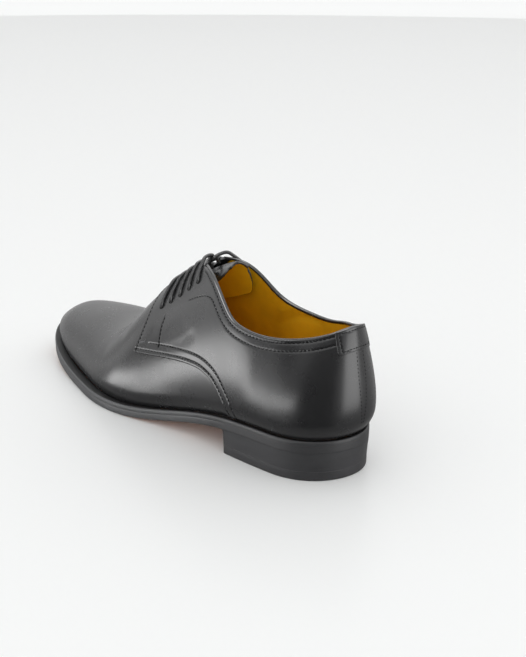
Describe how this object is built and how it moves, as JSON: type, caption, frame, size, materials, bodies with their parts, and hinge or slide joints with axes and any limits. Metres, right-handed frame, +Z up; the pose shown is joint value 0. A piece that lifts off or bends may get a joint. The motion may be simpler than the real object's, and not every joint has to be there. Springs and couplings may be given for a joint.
{
  "type": "dress shoe",
  "caption": "Plain-toe derby dress shoe for the left foot, with open lacing, a tan lining, a welted leather sole and a stacked heel.",
  "frame": {"origin": "middle of the shoe's box in plan, on the floor that the shoe stands on", "axes": "+Y towards the toe, +X towards the inner side of the foot, +Z up"},
  "size_m": [0.104, 0.3072, 0.1138],
  "materials": {
    "black_calf": "polished",
    "tongue_calf": "smooth",
    "tan_lining": "smooth",
    "black_welt": "satin",
    "sole_leather": "satin",
    "heel_leather": "satin",
    "heel_rubber": "matte",
    "lace_cotton": "waxed"
  },
  "bodies": {
    "root": {"upper": "black_calf", "tongue": "tongue_calf", "insole": "tan_lining", "welt": "black_welt", "outsole": "sole_leather", "heel_stack": "heel_leather", "heel_top_piece": "heel_rubber", "lace_crossing_1": "lace_cotton", "lace_crossing_2": "lace_cotton", "lace_crossing_3": "lace_cotton", "lace_crossing_4": "lace_cotton", "lace_crossing_5": "lace_cotton"}
  },
  "joints": []
}
